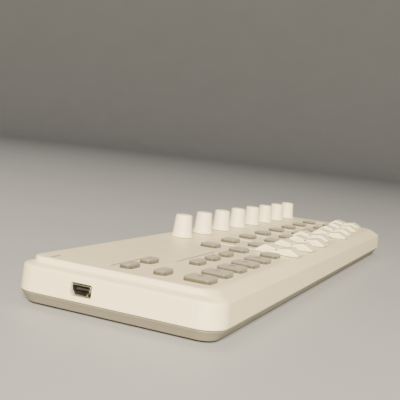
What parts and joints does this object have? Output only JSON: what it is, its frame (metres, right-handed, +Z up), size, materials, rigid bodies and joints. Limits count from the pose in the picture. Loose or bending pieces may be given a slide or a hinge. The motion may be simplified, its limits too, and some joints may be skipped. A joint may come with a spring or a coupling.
{
  "type": "midi control surface",
  "caption": "Slim desktop USB control surface in a two-part plastic case, with rotary knobs, sliding faders and rows of small rubber buttons, each moving on its own joint.",
  "frame": {"origin": "on the table plane, under the middle of the case", "axes": "+X to the right along the length, away from the USB socket's end; +Y from the front, where the faders are, to the rear, where the knobs are; +Z up"},
  "size_m": [0.325, 0.083, 0.0295],
  "materials": {
    "case_plastic": "fine matt warm white plastic",
    "base_plastic": "fine matt light grey plastic",
    "control_plastic": "satin near-white plastic",
    "key_rubber": "matt warm grey silicone rubber",
    "mat_rubber": "matt grey silicone rubber",
    "foot_rubber": "matt black rubber",
    "circuit_board": "green solder mask with black chips",
    "socket_metal": "plated steel shell with a black tongue",
    "pot_metal": "dull plated metal",
    "screw_steel": "blackened steel"
  },
  "bodies": {
    "case": {"top_case": "case_plastic", "bottom_case": "base_plastic", "circuit_board": "circuit_board", "usb_socket": "socket_metal", "knob_pots": "pot_metal", "slide_pots": "pot_metal", "key_mats": "mat_rubber", "rubber_feet": "foot_rubber", "case_screws": "screw_steel"},
    "knob_1": {"knob_1": "control_plastic"},
    "knob_2": {"knob_2": "control_plastic"},
    "knob_3": {"knob_3": "control_plastic"},
    "knob_4": {"knob_4": "control_plastic"},
    "knob_5": {"knob_5": "control_plastic"},
    "knob_6": {"knob_6": "control_plastic"},
    "knob_7": {"knob_7": "control_plastic"},
    "knob_8": {"knob_8": "control_plastic"},
    "fader_1": {"fader_1": "control_plastic"},
    "fader_2": {"fader_2": "control_plastic"},
    "fader_3": {"fader_3": "control_plastic"},
    "fader_4": {"fader_4": "control_plastic"},
    "fader_5": {"fader_5": "control_plastic"},
    "fader_6": {"fader_6": "control_plastic"},
    "fader_7": {"fader_7": "control_plastic"},
    "fader_8": {"fader_8": "control_plastic"},
    "button_track_previous": {"button_track_previous": "key_rubber"},
    "button_track_next": {"button_track_next": "key_rubber"},
    "button_cycle": {"button_cycle": "key_rubber"},
    "button_marker_set": {"button_marker_set": "key_rubber"},
    "button_marker_previous": {"button_marker_previous": "key_rubber"},
    "button_marker_next": {"button_marker_next": "key_rubber"},
    "button_rewind": {"button_rewind": "key_rubber"},
    "button_forward": {"button_forward": "key_rubber"},
    "button_stop": {"button_stop": "key_rubber"},
    "button_play": {"button_play": "key_rubber"},
    "button_record": {"button_record": "key_rubber"},
    "button_solo_1": {"button_solo_1": "key_rubber"},
    "button_mute_1": {"button_mute_1": "key_rubber"},
    "button_rec_1": {"button_rec_1": "key_rubber"},
    "button_solo_2": {"button_solo_2": "key_rubber"},
    "button_mute_2": {"button_mute_2": "key_rubber"},
    "button_rec_2": {"button_rec_2": "key_rubber"},
    "button_solo_3": {"button_solo_3": "key_rubber"},
    "button_mute_3": {"button_mute_3": "key_rubber"},
    "button_rec_3": {"button_rec_3": "key_rubber"},
    "button_solo_4": {"button_solo_4": "key_rubber"},
    "button_mute_4": {"button_mute_4": "key_rubber"},
    "button_rec_4": {"button_rec_4": "key_rubber"},
    "button_solo_5": {"button_solo_5": "key_rubber"},
    "button_mute_5": {"button_mute_5": "key_rubber"},
    "button_rec_5": {"button_rec_5": "key_rubber"},
    "button_solo_6": {"button_solo_6": "key_rubber"},
    "button_mute_6": {"button_mute_6": "key_rubber"},
    "button_rec_6": {"button_rec_6": "key_rubber"},
    "button_solo_7": {"button_solo_7": "key_rubber"},
    "button_mute_7": {"button_mute_7": "key_rubber"},
    "button_rec_7": {"button_rec_7": "key_rubber"},
    "button_solo_8": {"button_solo_8": "key_rubber"},
    "button_mute_8": {"button_mute_8": "key_rubber"},
    "button_rec_8": {"button_rec_8": "key_rubber"}
  },
  "joints": [
    {"name": "knob_1_turn", "type": "hinge", "parent": "case", "child": "knob_1", "pos_m": [-0.0473, 0.0258, 0.02], "axis": [0, 0, 1], "range_deg": [-140, 140]},
    {"name": "knob_2_turn", "type": "hinge", "parent": "case", "child": "knob_2", "pos_m": [-0.02035, 0.0258, 0.02], "axis": [0, 0, 1], "range_deg": [-140, 140]},
    {"name": "knob_3_turn", "type": "hinge", "parent": "case", "child": "knob_3", "pos_m": [0.0066, 0.0258, 0.02], "axis": [0, 0, 1], "range_deg": [-140, 140]},
    {"name": "knob_4_turn", "type": "hinge", "parent": "case", "child": "knob_4", "pos_m": [0.03355, 0.0258, 0.02], "axis": [0, 0, 1], "range_deg": [-140, 140]},
    {"name": "knob_5_turn", "type": "hinge", "parent": "case", "child": "knob_5", "pos_m": [0.0605, 0.0258, 0.02], "axis": [0, 0, 1], "range_deg": [-140, 140]},
    {"name": "knob_6_turn", "type": "hinge", "parent": "case", "child": "knob_6", "pos_m": [0.08745, 0.0258, 0.02], "axis": [0, 0, 1], "range_deg": [-140, 140]},
    {"name": "knob_7_turn", "type": "hinge", "parent": "case", "child": "knob_7", "pos_m": [0.1144, 0.0258, 0.02], "axis": [0, 0, 1], "range_deg": [-140, 140]},
    {"name": "knob_8_turn", "type": "hinge", "parent": "case", "child": "knob_8", "pos_m": [0.14135, 0.0258, 0.02], "axis": [0, 0, 1], "range_deg": [-140, 140]},
    {"name": "fader_1_slide", "type": "slide", "parent": "case", "child": "fader_1", "axis": [0, 1, 0], "range_m": [-0.0002, 0.0298]},
    {"name": "fader_2_slide", "type": "slide", "parent": "case", "child": "fader_2", "axis": [0, 1, 0], "range_m": [-0.0002, 0.0298]},
    {"name": "fader_3_slide", "type": "slide", "parent": "case", "child": "fader_3", "axis": [0, 1, 0], "range_m": [-0.0004, 0.0296]},
    {"name": "fader_4_slide", "type": "slide", "parent": "case", "child": "fader_4", "axis": [0, 1, 0], "range_m": [-0.0044, 0.0256]},
    {"name": "fader_5_slide", "type": "slide", "parent": "case", "child": "fader_5", "axis": [0, 1, 0], "range_m": [0, 0.03]},
    {"name": "fader_6_slide", "type": "slide", "parent": "case", "child": "fader_6", "axis": [0, 1, 0], "range_m": [-0.0024, 0.0276]},
    {"name": "fader_7_slide", "type": "slide", "parent": "case", "child": "fader_7", "axis": [0, 1, 0], "range_m": [-0.0039, 0.0261]},
    {"name": "fader_8_slide", "type": "slide", "parent": "case", "child": "fader_8", "axis": [0, 1, 0], "range_m": [-0.0073, 0.0227]},
    {"name": "button_track_previous_press", "type": "slide", "parent": "case", "child": "button_track_previous", "axis": [0, 0, 1], "range_m": [-0.001, 0], "stiffness_N_per_m": 800, "springref_m": 0.0005},
    {"name": "button_track_next_press", "type": "slide", "parent": "case", "child": "button_track_next", "axis": [0, 0, 1], "range_m": [-0.001, 0], "stiffness_N_per_m": 800, "springref_m": 0.0005},
    {"name": "button_cycle_press", "type": "slide", "parent": "case", "child": "button_cycle", "axis": [0, 0, 1], "range_m": [-0.001, 0], "stiffness_N_per_m": 800, "springref_m": 0.0005},
    {"name": "button_marker_set_press", "type": "slide", "parent": "case", "child": "button_marker_set", "axis": [0, 0, 1], "range_m": [-0.001, 0], "stiffness_N_per_m": 800, "springref_m": 0.0005},
    {"name": "button_marker_previous_press", "type": "slide", "parent": "case", "child": "button_marker_previous", "axis": [0, 0, 1], "range_m": [-0.001, 0], "stiffness_N_per_m": 800, "springref_m": 0.0005},
    {"name": "button_marker_next_press", "type": "slide", "parent": "case", "child": "button_marker_next", "axis": [0, 0, 1], "range_m": [-0.001, 0], "stiffness_N_per_m": 800, "springref_m": 0.0005},
    {"name": "button_rewind_press", "type": "slide", "parent": "case", "child": "button_rewind", "axis": [0, 0, 1], "range_m": [-0.001, 0], "stiffness_N_per_m": 800, "springref_m": 0.0005},
    {"name": "button_forward_press", "type": "slide", "parent": "case", "child": "button_forward", "axis": [0, 0, 1], "range_m": [-0.001, 0], "stiffness_N_per_m": 800, "springref_m": 0.0005},
    {"name": "button_stop_press", "type": "slide", "parent": "case", "child": "button_stop", "axis": [0, 0, 1], "range_m": [-0.001, 0], "stiffness_N_per_m": 800, "springref_m": 0.0005},
    {"name": "button_play_press", "type": "slide", "parent": "case", "child": "button_play", "axis": [0, 0, 1], "range_m": [-0.001, 0], "stiffness_N_per_m": 800, "springref_m": 0.0005},
    {"name": "button_record_press", "type": "slide", "parent": "case", "child": "button_record", "axis": [0, 0, 1], "range_m": [-0.001, 0], "stiffness_N_per_m": 800, "springref_m": 0.0005},
    {"name": "button_solo_1_press", "type": "slide", "parent": "case", "child": "button_solo_1", "axis": [0, 0, 1], "range_m": [-0.001, 0], "stiffness_N_per_m": 800, "springref_m": 0.0005},
    {"name": "button_mute_1_press", "type": "slide", "parent": "case", "child": "button_mute_1", "axis": [0, 0, 1], "range_m": [-0.001, 0], "stiffness_N_per_m": 800, "springref_m": 0.0005},
    {"name": "button_rec_1_press", "type": "slide", "parent": "case", "child": "button_rec_1", "axis": [0, 0, 1], "range_m": [-0.001, 0], "stiffness_N_per_m": 800, "springref_m": 0.0005},
    {"name": "button_solo_2_press", "type": "slide", "parent": "case", "child": "button_solo_2", "axis": [0, 0, 1], "range_m": [-0.001, 0], "stiffness_N_per_m": 800, "springref_m": 0.0005},
    {"name": "button_mute_2_press", "type": "slide", "parent": "case", "child": "button_mute_2", "axis": [0, 0, 1], "range_m": [-0.001, 0], "stiffness_N_per_m": 800, "springref_m": 0.0005},
    {"name": "button_rec_2_press", "type": "slide", "parent": "case", "child": "button_rec_2", "axis": [0, 0, 1], "range_m": [-0.001, 0], "stiffness_N_per_m": 800, "springref_m": 0.0005},
    {"name": "button_solo_3_press", "type": "slide", "parent": "case", "child": "button_solo_3", "axis": [0, 0, 1], "range_m": [-0.001, 0], "stiffness_N_per_m": 800, "springref_m": 0.0005},
    {"name": "button_mute_3_press", "type": "slide", "parent": "case", "child": "button_mute_3", "axis": [0, 0, 1], "range_m": [-0.001, 0], "stiffness_N_per_m": 800, "springref_m": 0.0005},
    {"name": "button_rec_3_press", "type": "slide", "parent": "case", "child": "button_rec_3", "axis": [0, 0, 1], "range_m": [-0.001, 0], "stiffness_N_per_m": 800, "springref_m": 0.0005},
    {"name": "button_solo_4_press", "type": "slide", "parent": "case", "child": "button_solo_4", "axis": [0, 0, 1], "range_m": [-0.001, 0], "stiffness_N_per_m": 800, "springref_m": 0.0005},
    {"name": "button_mute_4_press", "type": "slide", "parent": "case", "child": "button_mute_4", "axis": [0, 0, 1], "range_m": [-0.001, 0], "stiffness_N_per_m": 800, "springref_m": 0.0005},
    {"name": "button_rec_4_press", "type": "slide", "parent": "case", "child": "button_rec_4", "axis": [0, 0, 1], "range_m": [-0.001, 0], "stiffness_N_per_m": 800, "springref_m": 0.0005},
    {"name": "button_solo_5_press", "type": "slide", "parent": "case", "child": "button_solo_5", "axis": [0, 0, 1], "range_m": [-0.001, 0], "stiffness_N_per_m": 800, "springref_m": 0.0005},
    {"name": "button_mute_5_press", "type": "slide", "parent": "case", "child": "button_mute_5", "axis": [0, 0, 1], "range_m": [-0.001, 0], "stiffness_N_per_m": 800, "springref_m": 0.0005},
    {"name": "button_rec_5_press", "type": "slide", "parent": "case", "child": "button_rec_5", "axis": [0, 0, 1], "range_m": [-0.001, 0], "stiffness_N_per_m": 800, "springref_m": 0.0005},
    {"name": "button_solo_6_press", "type": "slide", "parent": "case", "child": "button_solo_6", "axis": [0, 0, 1], "range_m": [-0.001, 0], "stiffness_N_per_m": 800, "springref_m": 0.0005},
    {"name": "button_mute_6_press", "type": "slide", "parent": "case", "child": "button_mute_6", "axis": [0, 0, 1], "range_m": [-0.001, 0], "stiffness_N_per_m": 800, "springref_m": 0.0005},
    {"name": "button_rec_6_press", "type": "slide", "parent": "case", "child": "button_rec_6", "axis": [0, 0, 1], "range_m": [-0.001, 0], "stiffness_N_per_m": 800, "springref_m": 0.0005},
    {"name": "button_solo_7_press", "type": "slide", "parent": "case", "child": "button_solo_7", "axis": [0, 0, 1], "range_m": [-0.001, 0], "stiffness_N_per_m": 800, "springref_m": 0.0005},
    {"name": "button_mute_7_press", "type": "slide", "parent": "case", "child": "button_mute_7", "axis": [0, 0, 1], "range_m": [-0.001, 0], "stiffness_N_per_m": 800, "springref_m": 0.0005},
    {"name": "button_rec_7_press", "type": "slide", "parent": "case", "child": "button_rec_7", "axis": [0, 0, 1], "range_m": [-0.001, 0], "stiffness_N_per_m": 800, "springref_m": 0.0005},
    {"name": "button_solo_8_press", "type": "slide", "parent": "case", "child": "button_solo_8", "axis": [0, 0, 1], "range_m": [-0.001, 0], "stiffness_N_per_m": 800, "springref_m": 0.0005},
    {"name": "button_mute_8_press", "type": "slide", "parent": "case", "child": "button_mute_8", "axis": [0, 0, 1], "range_m": [-0.001, 0], "stiffness_N_per_m": 800, "springref_m": 0.0005},
    {"name": "button_rec_8_press", "type": "slide", "parent": "case", "child": "button_rec_8", "axis": [0, 0, 1], "range_m": [-0.001, 0], "stiffness_N_per_m": 800, "springref_m": 0.0005}
  ]
}
